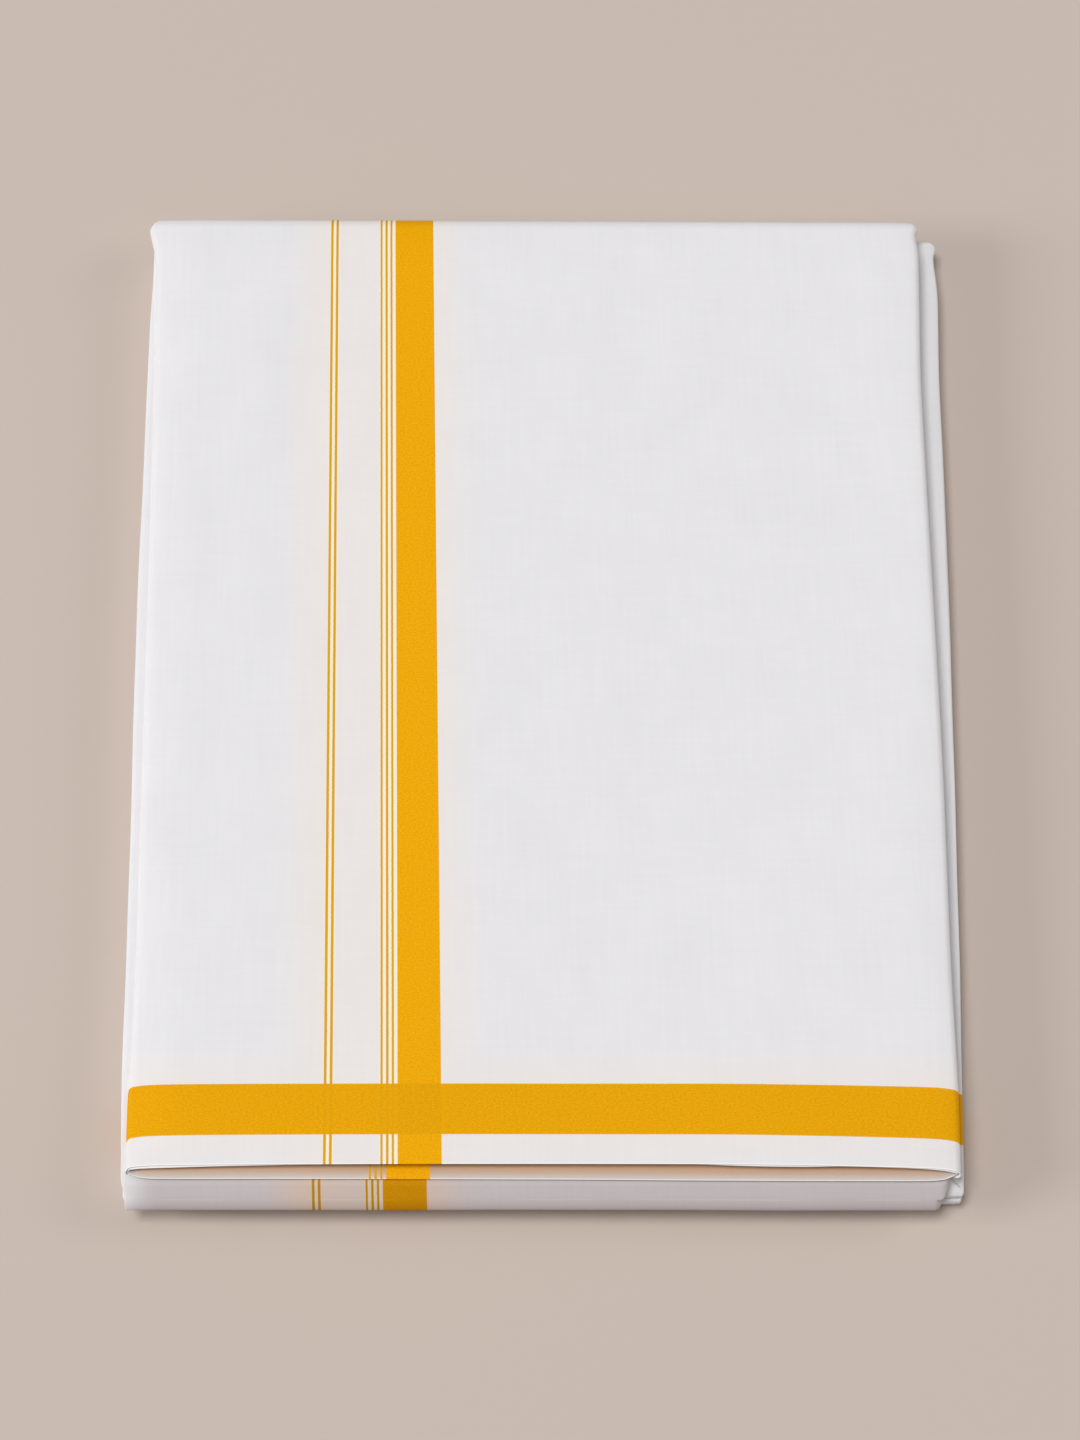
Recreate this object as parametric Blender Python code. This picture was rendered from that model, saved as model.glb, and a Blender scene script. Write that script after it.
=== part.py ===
"""A double dhoti folded into a flat packet, lying on its back.

The cloth is folded across into quarters and then side to side into sixteen
panels, 64 layers in all.  The packet lies with its front up: X is the viewer's
right, +Y runs to the top fold, +Z is up, and the origin is on the underside, at
the middle of the packet's box.  Lengths are in metres.
"""

import math

import bmesh
import bpy

# Cut of the cloth and how often it is folded
CLOTH_LENGTH = 4.00
CLOTH_WIDTH = 1.27
PANELS_ACROSS = 16
PANELS_DOWN = 4

# Size of the packet: one panel, and what the turns at its folds add
TURN_ACROSS = 0.0024
TURN_DOWN = 0.0045
WIDTH = CLOTH_LENGTH / PANELS_ACROSS + TURN_ACROSS
LENGTH = CLOTH_WIDTH / PANELS_DOWN + TURN_DOWN
LEFT = -WIDTH / 2
RIGHT = WIDTH / 2
BOTTOM = -LENGTH / 2
TOP = LENGTH / 2

# Walls of cloth, each standing for a few layers
WALL = 0.0012
GAP = 0.0003
NEST = WALL + GAP

# Heights above the surface that the packet lies on
BACK_HALF_TOP = 0.0104
LOWER_FOLD_TOP = 0.0146
CORE_TOP = 0.0170
BODY_FACE = CORE_TOP + NEST
SECOND_FACE = BODY_FACE + NEST
FRONT_FACE = SECOND_FACE + NEST
TOP_FOLD_BASE = BACK_HALF_TOP + GAP
BOTTOM_FOLD_BASE = LOWER_FOLD_TOP + GAP
TOP_RADIUS = (FRONT_FACE - TOP_FOLD_BASE) / 2
BOTTOM_RADIUS = (BODY_FACE - BOTTOM_FOLD_BASE) / 2

# Fold groups of the hidden layers, from the surface up.  Height of the group,
# then how far its folds stand inside the packet's box on each side.
GROUP_COLUMNS = ("height", "left", "right", "bottom", "top")
BODY_RIGHT = 0.0076
BODY_BOTTOM = 0.0034
FOLD_GROUPS = (
    (BACK_HALF_TOP / 4, 0.0010, 0.0011, 0.0058, 0.0029),
    (BACK_HALF_TOP / 4, 0.0003, 0.0003, 0.0049, 0.0021),
    (BACK_HALF_TOP / 4, 0.0000, 0.0000, 0.0054, 0.0017),
    (BACK_HALF_TOP / 4, 0.0004, 0.0008, 0.0047, 0.0023),
    (LOWER_FOLD_TOP - BACK_HALF_TOP, 0.0006, 0.0092, 0.0000, TOP_RADIUS + GAP),
    (
        CORE_TOP - LOWER_FOLD_TOP,
        0.0003,
        BODY_RIGHT + GAP,
        BODY_BOTTOM + BOTTOM_RADIUS + GAP,
        TOP_RADIUS + GAP,
    ),
)
FOLD_SAMPLES = 7
CORNER_RADIUS = 0.0050
CORNER_STEPS = 8
SIDE_STEPS = 6

# Front panel: height y on the packet, then its left and right edge there
FRONT_EDGES = (
    (-0.1516, -0.1229, 0.1224),
    (-0.1480, -0.1232, 0.1229),
    (-0.1388, -0.1233, 0.1230),
    (-0.1000, -0.1227, 0.1223),
    (-0.0487, -0.1221, 0.1216),
    (0.0000, -0.1223, 0.1207),
    (0.0493, -0.1226, 0.1197),
    (0.1000, -0.1230, 0.1187),
    (0.1380, -0.1233, 0.1181),
    (0.1462, -0.1236, 0.1181),
    (0.1500, -0.1244, 0.1185),
    (0.1560, -0.1252, 0.1190),
)
FRONT_HEM = -0.1493
FRONT_HEM_SAG = 0.0012
MOUTH_LIFT = 0.0015
MOUTH_REACH = 0.045

# Second layer, whose lip shows under the front panel's hem
SECOND_HEM = -0.1534
SECOND_HEM_SAG = -0.0016
SECOND_INSET = 0.0018
SECOND_TURN = math.radians(100)

# Body, whose bottom fold shows under both hems
BODY_END = BOTTOM + BODY_BOTTOM

# Body: height y on the packet, then its left and right edge there
BODY_EDGES = (
    (BODY_END, LEFT + 0.0022, RIGHT - BODY_RIGHT - 0.0020),
    (BODY_END + 0.0030, LEFT + 0.0006, RIGHT - BODY_RIGHT + 0.0002),
    (0.0000, LEFT + 0.0002, RIGHT - BODY_RIGHT),
    (TOP, LEFT + 0.0006, RIGHT - BODY_RIGHT - 0.0004),
)

# Turn of a wall round its side fold
TURN_RADIUS = 0.0019
TURN_STEPS = 6
FRONT_TURN = math.radians(120)

# Spacing of the rows and columns in a wall
COLUMNS = 16
ROWS = 26
ROW_CROWDING = 1.5
FOLD_STEPS = 10

# Finishes: colour, roughness
WHITE_COTTON = (0.82, 0.80, 0.80, 1.0)
SHADED_COTTON = (0.74, 0.72, 0.72, 1.0)
COTTON_ROUGHNESS = 0.85


def clear_scene():
    """Take every object out of the scene."""
    for old in list(bpy.data.objects):
        bpy.data.objects.remove(old, do_unlink=True)


def cotton(name, colour):
    """A plain cotton finish."""
    finish = bpy.data.materials.new(name)
    finish.use_nodes = True
    shader = finish.node_tree.nodes["Principled BSDF"]
    shader.inputs["Base Color"].default_value = colour
    shader.inputs["Roughness"].default_value = COTTON_ROUGHNESS
    shader.inputs["Metallic"].default_value = 0.0
    return finish


def finish_object(name, bm, material):
    """Turn a bmesh into a named object with smooth faces and sharp rims."""
    bmesh.ops.recalc_face_normals(bm, faces=bm.faces)
    mesh = bpy.data.meshes.new(name)
    bm.to_mesh(mesh)
    bm.free()
    mesh.shade_smooth()
    mesh.set_sharp_from_angle(angle=math.radians(50))
    mesh.materials.append(material)
    piece = bpy.data.objects.new(name, mesh)
    bpy.context.scene.collection.objects.link(piece)
    return piece


def ease(share):
    """A smooth step from 0 to 1."""
    share = min(max(share, 0.0), 1.0)
    return share * share * (3 - 2 * share)


def edges_at(rows, y):
    """Left and right edge at a height y, eased between the rows of a table."""
    if y <= rows[0][0]:
        return rows[0][1], rows[0][2]
    for low, high in zip(rows, rows[1:]):
        if y <= high[0]:
            share = ease((y - low[0]) / (high[0] - low[0]))
            left = low[1] + share * (high[1] - low[1])
            right = low[2] + share * (high[2] - low[2])
            return left, right
    return rows[-1][1], rows[-1][2]


def rounded_outline(left, right, bottom, top):
    """Points of a rectangle with round corners, counter-clockwise."""
    radius = CORNER_RADIUS
    corners = (
        (right - radius, bottom + radius, -90),
        (right - radius, top - radius, 0),
        (left + radius, top - radius, 90),
        (left + radius, bottom + radius, 180),
    )
    points = []
    for index, (cx, cy, start) in enumerate(corners):
        for step in range(CORNER_STEPS + 1):
            angle = math.radians(start + 90 * step / CORNER_STEPS)
            points.append((cx + radius * math.cos(angle), cy + radius * math.sin(angle)))
        following = corners[(index + 1) % 4]
        next_angle = math.radians(following[2])
        target = (
            following[0] + radius * math.cos(next_angle),
            following[1] + radius * math.sin(next_angle),
        )
        here = points[-1]
        for step in range(1, SIDE_STEPS):
            share = step / SIDE_STEPS
            x = here[0] + share * (target[0] - here[0])
            y = here[1] + share * (target[1] - here[1])
            points.append((x, y))
    return points


def group_rings():
    """Height and box of each ring round the hidden layers, from the base up."""
    rings = []
    base = 0.0
    for row in FOLD_GROUPS:
        group = dict(zip(GROUP_COLUMNS, row))
        half = group["height"] / 2
        for sample in range(FOLD_SAMPLES):
            angle = math.pi * (sample / (FOLD_SAMPLES - 1) - 0.5)
            height = base + half * (1 + math.sin(angle))
            pinch = half * (1 - math.cos(angle)) * 0.9
            box = (
                LEFT + group["left"] + pinch,
                RIGHT - group["right"] - pinch,
                BOTTOM + group["bottom"] + pinch,
                TOP - group["top"] - pinch,
            )
            rings.append((height, box))
        base += group["height"]
    return rings


def build_inner_layers(material):
    """The hidden layers: one rounded solid, layered at its edges."""
    bm = bmesh.new()
    loops = []
    for height, box in group_rings():
        loops.append([bm.verts.new((x, y, height)) for x, y in rounded_outline(*box)])
    count = len(loops[0])
    for lower, upper in zip(loops, loops[1:]):
        for index in range(count):
            after = (index + 1) % count
            bm.faces.new((lower[index], lower[after], upper[after], upper[index]))
    bm.faces.new(list(reversed(loops[0])))
    bm.faces.new(loops[-1])
    return finish_object("inner_layers", bm, material)


def fold_path(hem, end, face, radius, turn):
    """Stations (y, z, normal y, normal z) along a wall and round its far fold.

    The wall starts at its hem, runs at the height of its face to the fold at
    the packet's end and turns down round it.
    """
    way = 1 if end > hem else -1
    centre_y = end - way * radius
    stations = []
    for row in range(ROWS):
        share = (row / ROWS) ** ROW_CROWDING
        y = hem + (centre_y - hem) * share
        stations.append((y, face, 0.0, 1.0))
    for step in range(FOLD_STEPS + 1):
        angle = turn * step / FOLD_STEPS
        normal_y = way * math.sin(angle)
        normal_z = math.cos(angle)
        y = centre_y + radius * normal_y
        z = face - radius + radius * normal_z
        stations.append((y, z, normal_y, normal_z))
    return stations


def section(left, right, turn):
    """Outer and inner points (x, depth) across a wall with its side turns."""
    outer = []
    inner = []
    bend = TURN_RADIUS
    for step in range(TURN_STEPS, -1, -1):
        angle = turn * step / TURN_STEPS
        outer.append((left + bend - bend * math.sin(angle), bend * (1 - math.cos(angle))))
        small = bend - WALL
        inner.append((left + bend - small * math.sin(angle), bend - small * math.cos(angle)))
    first = left + bend
    last = right - bend
    for column in range(1, COLUMNS):
        x = first + (last - first) * column / COLUMNS
        outer.append((x, 0.0))
        inner.append((x, WALL))
    for step in range(TURN_STEPS + 1):
        angle = turn * step / TURN_STEPS
        outer.append((right - bend + bend * math.sin(angle), bend * (1 - math.cos(angle))))
        small = bend - WALL
        inner.append((right - bend + small * math.sin(angle), bend - small * math.cos(angle)))
    return outer, inner


def flat_section(left, right):
    """Outer and inner points (x, depth) across a wall with cut side edges."""
    outer = []
    inner = []
    for column in range(COLUMNS + 1):
        x = left + (right - left) * column / COLUMNS
        outer.append((x, 0.0))
        inner.append((x, WALL))
    return outer, inner


def place(station, point, hem, sag, lift):
    """Point of a wall, with the hem's curve and the mouth's lift."""
    y, z, normal_y, normal_z = station
    x, depth = point
    near_hem = 1 - ease(abs(y - hem) / MOUTH_REACH)
    across = min(abs(x) / RIGHT, 1.0)
    y -= sag * near_hem * across ** 3
    z += lift * near_hem * (1 - across * across)
    return x, y - depth * normal_y, z - depth * normal_z


def build_wall(name, stations, sections, shape, material):
    """A closed wall of cloth through a grid of outer and inner points."""
    bm = bmesh.new()
    sheets = []
    for side in (0, 1):
        rows = []
        for station, pair in zip(stations, sections):
            rows.append([bm.verts.new(shape(station, point)) for point in pair[side]])
        sheets.append(rows)
    outer, inner = sheets
    last_row = len(outer) - 1
    last_column = len(outer[0]) - 1
    for row in range(last_row):
        for column in range(last_column):
            for sheet in sheets:
                near = sheet[row]
                far = sheet[row + 1]
                bm.faces.new((near[column], near[column + 1], far[column + 1], far[column]))
    for row in range(last_row):
        for column in (0, last_column):
            ring = (outer[row][column], outer[row + 1][column], inner[row + 1][column], inner[row][column])
            bm.faces.new(ring)
    for column in range(last_column):
        for row in (0, last_row):
            ring = (outer[row][column], outer[row][column + 1], inner[row][column + 1], inner[row][column])
            bm.faces.new(ring)
    return finish_object(name, bm, material)


def build_front_panel(material):
    """The front panel, over the top fold and round both side folds."""
    stations = fold_path(FRONT_HEM, TOP, FRONT_FACE, TOP_RADIUS, math.pi)
    sections = [section(*edges_at(FRONT_EDGES, station[0]), FRONT_TURN) for station in stations]

    def shape(station, point):
        return place(station, point, FRONT_HEM, FRONT_HEM_SAG, MOUTH_LIFT)

    return build_wall("front_panel", stations, sections, shape, material)


def build_second_layer(material):
    """The layer behind the front panel, with its lip at the mouth."""
    radius = TOP_RADIUS - NEST
    stations = fold_path(SECOND_HEM, TOP - NEST, SECOND_FACE, radius, SECOND_TURN)
    sections = []
    for station in stations:
        left, right = edges_at(FRONT_EDGES, station[0])
        sections.append(flat_section(left + SECOND_INSET, right - SECOND_INSET))

    def shape(station, point):
        return place(station, point, SECOND_HEM, SECOND_HEM_SAG, 0.0)

    return build_wall("second_layer", stations, sections, shape, material)


def build_bottom_fold(material):
    """The body's outer cloth, from under the flap round the bottom fold."""
    start = TOP - TOP_RADIUS - GAP
    stations = fold_path(start, BODY_END, BODY_FACE, BOTTOM_RADIUS, math.pi)
    sections = [flat_section(*edges_at(BODY_EDGES, station[0])) for station in stations]

    def shape(station, point):
        return place(station, point, start, 0.0, 0.0)

    return build_wall("bottom_fold", stations, sections, shape, material)


def main():
    """Build the folded dhoti."""
    clear_scene()
    white = cotton("white_cotton", WHITE_COTTON)
    shaded = cotton("shaded_cotton", SHADED_COTTON)
    build_inner_layers(shaded)
    build_bottom_fold(white)
    build_second_layer(white)
    build_front_panel(white)


main()
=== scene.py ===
"""A white double dhoti with woven gold bands, folded into a flat packet.

The packet lies on its back with its front up.  X is the viewer's right, +Y runs
to the top fold and +Z is up.  Lengths are in metres unless a comment says
millimetres.
"""

import math

import bmesh
import bpy
from bpy.props import BoolProperty, FloatProperty, FloatVectorProperty, PointerProperty
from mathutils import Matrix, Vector


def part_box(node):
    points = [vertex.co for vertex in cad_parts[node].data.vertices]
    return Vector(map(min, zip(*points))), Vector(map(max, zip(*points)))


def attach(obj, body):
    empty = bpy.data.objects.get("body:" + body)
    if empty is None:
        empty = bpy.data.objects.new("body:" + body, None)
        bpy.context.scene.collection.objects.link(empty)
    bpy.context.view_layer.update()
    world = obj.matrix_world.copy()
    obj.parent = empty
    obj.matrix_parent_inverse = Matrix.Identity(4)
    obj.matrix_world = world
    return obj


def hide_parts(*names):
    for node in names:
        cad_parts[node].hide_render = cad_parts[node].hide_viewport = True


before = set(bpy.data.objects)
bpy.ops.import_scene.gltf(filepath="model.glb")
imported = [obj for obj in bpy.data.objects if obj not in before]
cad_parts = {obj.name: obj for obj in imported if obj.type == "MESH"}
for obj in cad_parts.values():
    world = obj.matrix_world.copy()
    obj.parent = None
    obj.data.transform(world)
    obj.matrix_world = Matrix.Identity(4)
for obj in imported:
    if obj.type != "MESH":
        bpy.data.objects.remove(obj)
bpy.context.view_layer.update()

bl_info = {
    "name": "Folded Dhoti",
    "version": (1, 0, 0),
    "blender": (4, 5, 0),
    "location": "3D View > Sidebar > Dhoti",
    "description": "Models a folded white dhoti with woven gold bands",
    "category": "Add Mesh",
}

MM = 0.001
# Gaps that the solids and the two stacks of folds keep to their neighbours
SOLID_GAP = 0.3 * MM
STACK_GAP = 0.1 * MM

# Places read from the frame
INNER_LOW, INNER_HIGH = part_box("inner_layers")
FLAP_LOW, FLAP_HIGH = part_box("front_panel")
_, BODY_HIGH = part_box("bottom_fold")
_, SECOND_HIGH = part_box("second_layer")
LEFT, RIGHT = INNER_LOW[0], INNER_HIGH[0]
BOTTOM, TOP = INNER_LOW[1], FLAP_HIGH[1]
HALF_WIDTH = (RIGHT - LEFT) / 2
BODY_FACE = BODY_HIGH[2]
# The front lies as far above the second layer as that lies above the body
FRONT_FACE = 2 * SECOND_HIGH[2] - BODY_FACE
TOP_FOLD_BASE = FLAP_LOW[2]
TOP_RADIUS = (FRONT_FACE - TOP_FOLD_BASE) / 2
BACK_TOP = TOP_FOLD_BASE - SOLID_GAP

# Places along the cloth: the second layer's hem, the step from its front wall to
# its rear wall, the lowest point of the bottom fold, and one clear of all bands
SECOND_START = 0.06
REAR_STEP = 0.50
BODY_START = 0.40
PLAIN_PLACE = 0.50

# Front cloth: height y, then the left and right edge of the flap there
FLAP_EDGES = (
    (-0.1530, -0.1234, 0.1220),
    (-0.1505, -0.1236, 0.1224),
    (-0.1443, -0.1237, 0.1226),
    (-0.1267, -0.1237, 0.1227),
    (-0.1160, -0.1229, 0.1225),
    (-0.0859, -0.1225, 0.1218),
    (-0.0223, -0.1224, 0.1213),
    (0.0434, -0.1225, 0.1199),
    (0.1045, -0.1228, 0.1186),
    (0.1300, -0.1233, 0.1189),
    (0.1474, -0.1241, 0.1191),
    (0.1502, -0.1247, 0.1190),
    (0.1527, -0.1253, 0.1186),
    (0.1548, -0.1258, 0.1182),
    (0.1566, -0.1260, 0.1187),
    (0.1582, -0.1257, 0.1191),
    (0.1598, -0.1249, 0.1186),
    (0.1610, -0.1234, 0.1166),
)
# Hem of the front: place x, then how far the cloth hangs below its middle
HEM_DROP = (
    (-0.1238, 0.0014),
    (-0.1227, 0.0008),
    (-0.1200, 0.0004),
    (-0.1150, 0.0002),
    (-0.0750, 0.0000),
    (0.0460, 0.0000),
    (0.0800, 0.0004),
    (0.1015, 0.0008),
    (0.1133, 0.0011),
    (0.1190, 0.0015),
    (0.1226, 0.0022),
)
# Nested hem: place x, then how far it shows below the front hem
NESTED_DROP = (
    (-0.1240, 0.0005),
    (-0.1150, 0.0006),
    (-0.0950, 0.0003),
    (-0.0600, -0.0001),
    (0.0400, -0.0002),
    (0.0580, 0.0003),
    (0.0760, 0.0003),
    (0.0900, -0.0001),
    (0.1120, 0.0001),
    (0.1230, 0.0005),
)
# Lip of the second layer: place x, then its height y
LIP = (
    (-0.1240, -0.1506),
    (-0.1225, -0.1515),
    (-0.1197, -0.1524),
    (-0.1150, -0.1528),
    (-0.0750, -0.1528),
    (0.0000, -0.1530),
    (0.0457, -0.1533),
    (0.1016, -0.1535),
    (0.1166, -0.1533),
    (0.1196, -0.1524),
    (0.1213, -0.1515),
    (0.1226, -0.1508),
)
# Outer folds: height y, then how far the left and the right edge stand in
OUTER_EDGES = (
    (-0.1600, 0.0012, 0.0024),
    (-0.1560, 0.0008, 0.0018),
    (-0.1520, 0.0005, 0.0016),
    (-0.1230, 0.0000, 0.0011),
    (-0.0817, 0.0000, 0.0003),
    (-0.0170, 0.0000, 0.0000),
    (0.0490, 0.0000, 0.0000),
    (0.0900, 0.0003, 0.0004),
    (0.1098, 0.0005, 0.0006),
    (0.1266, 0.0007, 0.0004),
    (0.1387, 0.0012, 0.0002),
    (0.1456, 0.0013, 0.0006),
    (0.1510, 0.0013, 0.0011),
    (0.1531, 0.0012, 0.0009),
    (0.1552, 0.0012, 0.0003),
    (0.1575, 0.0014, 0.0004),
)

# Fold groups from the surface up.  Columns: top of the group as a share of the
# stack, insets left, right, bottom and top in millimetres, radius of its lower
# and upper corners in the outline in millimetres, nested layers shown
BACK_GROUPS = (
    (0.25, 1.0, 1.1, 4.6, 3.6, 3.0, 3.0, 3),
    (0.50, 0.3, 0.7, 4.2, 3.0, 3.2, 3.2, 3),
    (0.75, 0.0, 0.6, 3.6, 3.2, 2.6, 2.6, 3),
    (1.00, 0.2, 0.0, 4.7, 2.8, 2.9, 2.9, 3),
)
BODY_GROUPS = (
    (0.60, 0.5, 9.0, 0.0, 2.9, 2.3, 0.6, 3),
    (1.00, 0.0, 6.5, 0.0, 2.4, 3.4, 0.6, 3),
)
# The back's groups from the surface up, by number: one that carries its band
# this much lower, and one that shows no band
LOWERED_GROUP = 0
LOWERED_BY = 3 * MM
PLAIN_GROUP = 1
# How deep the groove between two groups is drawn in, as a share of half a
# group's height, how suddenly, and the notch between two nested layers
GROOVE_SHARE = 0.8
GROOVE_POWER = 2.6
LAYER_NOTCH = 0.20 * MM
# Rings of points for each nested layer
LAYER_RINGS = 7
# Rings that carry a stack's end to its middle: how far each stands in, in
# millimetres
CARRIED_INSETS = (0.5, 1.5, 3, 6, 12, 25, 50, 90, 115)
# Steps round a corner of a stack's outline, along its sides and along its ends
CORNER_STEPS = 12
SIDE_STEPS = 106
END_STEPS = 84
# Slow waves that a fold strays in.  Columns: size, waves round the packet, how
# many radians a seed turns them
STRAY_WAVES = (
    (0.45, 4, 2.1),
    (0.27, 9, 4.7),
    (0.135, 21, 1.3),
)
# Shares of the stray that a group, a nested layer and the smooth bottom fold
# have, the bottom fold's seed, and how many seeds each group keeps for its layers
GROUP_STRAY = 0.8
LAYER_STRAY = 0.4
NOSE_STRAY = 0.5
NOSE_SEED = 0.7
GROUP_SEEDS = 10
# Bottom fold: the share of its height where it is widest, the radius under that,
# how far it leans back above it, how suddenly, and where its top edge rounds
NOSE_WIDEST = 0.27
NOSE_ROUND = 2.0 * MM
NOSE_LEAN = 7.8 * MM
NOSE_POWER = 1.42
NOSE_EDGE = 0.85
# The highest level at which its lean is read
NOSE_TOP = 0.999
# It is smooth where it faces down by more than this share, growing over this one
SMOOTH_FACING = 0.50
SMOOTH_GROWTH = 0.45
# The body's right edge stands in towards the top: how far, from which height,
# and over which length
BODY_LEAN = 1.6 * MM
BODY_LEAN_START = -0.02
BODY_LEAN_LENGTH = 0.15
# The body's grooves are filled towards its top: from how far below the top, over
# which length, and how much
FILL_START = 14 * MM
FILL_LENGTH = 7 * MM
FILL_SHARE = 0.85

# Creases on the front.  Columns in millimetres: middle x and y,
# length, width, turn in degrees, depth (up is positive)
CREASES = (
    (-88, 112, 88, 10, 88, 0.22),
    (-74, 92, 76, 7, 91, -0.16),
    (88, 106, 64, 20, 83, -0.30),
    (105, 118, 52, 6, 95, 0.20),
    (-18, -38, 74, 15, 92, 0.16),
    (-104, -22, 110, 9, 90, -0.16),
    (-92, -88, 66, 12, 84, 0.16),
    (30, 118, 96, 24, 8, 0.14),
    (46, 34, 84, 20, 74, -0.16),
    (12, -92, 150, 20, -3, -0.12),
    (108, -62, 84, 8, 89, 0.20),
    (66, -104, 58, 14, 62, 0.12),
    (-112, 62, 60, 6, 94, 0.14),
    (72, 146, 60, 7, -9, -0.16),
    (-46, 136, 70, 12, 12, -0.12),
)
# A crease bends off its line by this share of its length, in a sine that runs
# this many radians from its middle to its end
CREASE_BEND = 0.012
CREASE_SINE = 1.7
# Wide, low swells of the front.  Columns: height in millimetres, then in radians
# for each metre waves along x and their drift along y, their start in radians,
# and the same waves and start along y
SWELLS = (
    (0.16, 31, 0, 1.3, 24, 0.4),
    (0.09, 67, 21, 0.0, 49, 2.0),
)
# How the front bends down at an edge: depth and reach in millimetres
LEFT_DROOP = (1.15, 17)
RIGHT_DROOP = (0.40, 11)
TOP_DROOP = (0.50, 12)
# The front's relief grows up the flap in a smooth step: where in the step the
# hem lies and the step's length; creases fade out this near to a side fold
RELIEF_AT_HEM = 0.25
RELIEF_REACH = 14 * MM
FLAT_EDGE = 9 * MM
# The hem's drop fades out this far up the flap
SAG_REACH = 110 * MM
# The top fold stands this much higher at the left, from this height y up and
# growing over this length
TOP_SLOPE = 1.1 * MM
SLOPE_START = 0.05
SLOPE_LENGTH = 0.10
# The cloth is laid slightly askew: the height y where it lies true, how far it
# drifts to the left and how much it narrows for each metre above that
TRUE_HEIGHT = -0.1327
ASKEW = 0.02386
NARROWING = 0.23
# How far the body's stripes and its pair of thin lines lie to the left of the
# flap's, and the place x and length over which the one turns into the other
STRIPE_SHIFT = 4.6 * MM
PAIR_SHIFT = 3.5 * MM
PAIR_START = -0.053
PAIR_LENGTH = 10 * MM
# Edges of the cloth sharper than this stay sharp
SMOOTH_ANGLE = math.radians(60)


class DhotiSizes(bpy.types.PropertyGroup):
    """Sizes of the cloth, its hems and its bands"""

    cloth: FloatProperty(
        name="Cloth", description="Thickness of one layer of cloth as it shows",
        default=0.30 * MM, min=0.1 * MM, subtype="DISTANCE", unit="LENGTH",
    )
    front_hem: FloatProperty(
        name="Front hem", description="Height y of the front panel's hem",
        default=-0.1493, subtype="DISTANCE", unit="LENGTH",
    )
    mouth_lift: FloatProperty(
        name="Mouth lift", description="How far the flap's mouth stands open",
        default=1.5 * MM, subtype="DISTANCE", unit="LENGTH",
    )
    mouth_reach: FloatProperty(
        name="Mouth reach", description="How far up the flap the open mouth reaches",
        default=0.045, subtype="DISTANCE", unit="LENGTH",
    )
    band_low: FloatProperty(
        name="Band low", description="Height of the border band's lower edge above the hem",
        default=9.0 * MM, subtype="DISTANCE", unit="LENGTH",
    )
    band_high: FloatProperty(
        name="Band high", description="Height of the border band's upper edge above the hem",
        default=24.6 * MM, subtype="DISTANCE", unit="LENGTH",
    )
    crease_scale: FloatProperty(
        name="Creases", description="Strength of the soft creases", default=1.0, min=0.0, max=4.0,
    )
    fold_wander: FloatProperty(
        name="Wander", description="How far a fold strays from a straight line",
        default=0.35 * MM, subtype="DISTANCE", unit="LENGTH",
    )


class DhotiColours(bpy.types.PropertyGroup):
    """Colours of the cotton, the gold and the floor"""

    cotton: FloatVectorProperty(
        name="Cotton", description="Colour of the white cotton", subtype="COLOR",
        size=4, min=0.0, max=1.0, default=(0.83, 0.82, 0.835, 1.0),
    )
    gold: FloatVectorProperty(
        name="Gold", description="Colour of the woven gold", subtype="COLOR",
        size=4, min=0.0, max=1.0, default=(0.86, 0.405, 0.002, 1.0),
    )
    glow: FloatVectorProperty(
        name="Glow", description="Warm tint of the cotton beside the gold", subtype="COLOR",
        size=4, min=0.0, max=1.0, default=(1.0, 0.80, 0.62, 1.0),
    )
    shaded: FloatVectorProperty(
        name="Shade", description="Soft shade on the cloth under the flap", subtype="COLOR",
        size=4, min=0.0, max=1.0, default=(0.70, 0.645, 0.64, 1.0),
    )
    # Painted warm shade inside the flap's mouth, the colour of the mouth's painted shade
    mouth: FloatVectorProperty(
        name="Mouth", description="Warm tint inside the flap's mouth", subtype="COLOR",
        size=4, min=0.0, max=1.0, default=(0.44, 0.31, 0.215, 1.0),
    )
    floor: FloatVectorProperty(
        name="Floor", description="Colour of the floor", subtype="COLOR",
        size=4, min=0.0, max=1.0, default=(0.60, 0.51, 0.45, 1.0),
    )
    show_bands: BoolProperty(
        name="Bands", description="Weave the gold bands into the cloth", default=True,
    )


def sizes():
    """The sizes set for this scene."""
    return bpy.context.scene.dhoti_sizes


def colours():
    """The colours set for this scene."""
    return bpy.context.scene.dhoti_colours


def ease(share):
    """A smooth step from 0 to 1."""
    share = min(max(share, 0.0), 1.0)
    return share * share * (3 - 2 * share)


def read_table(rows, key, column=1):
    """Value of a column at a key, on a smooth line through the rows."""
    if key <= rows[0][0]:
        return rows[0][column]
    if key >= rows[-1][0]:
        return rows[-1][column]
    index = next(at for at, row in enumerate(rows) if row[0] > key) - 1
    low, high = rows[index], rows[index + 1]
    before, after = rows[max(index - 1, 0)], rows[min(index + 2, len(rows) - 1)]
    span, rise = high[0] - low[0], high[column] - low[column]
    start = (high[column] - before[column]) / (high[0] - before[0]) * span
    end = (after[column] - low[column]) / (after[0] - low[0]) * span
    share = (key - low[0]) / span
    bend = 3 * rise - 2 * start - end + share * (start + end - 2 * rise)
    return low[column] + share * (start + share * bend)


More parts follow.
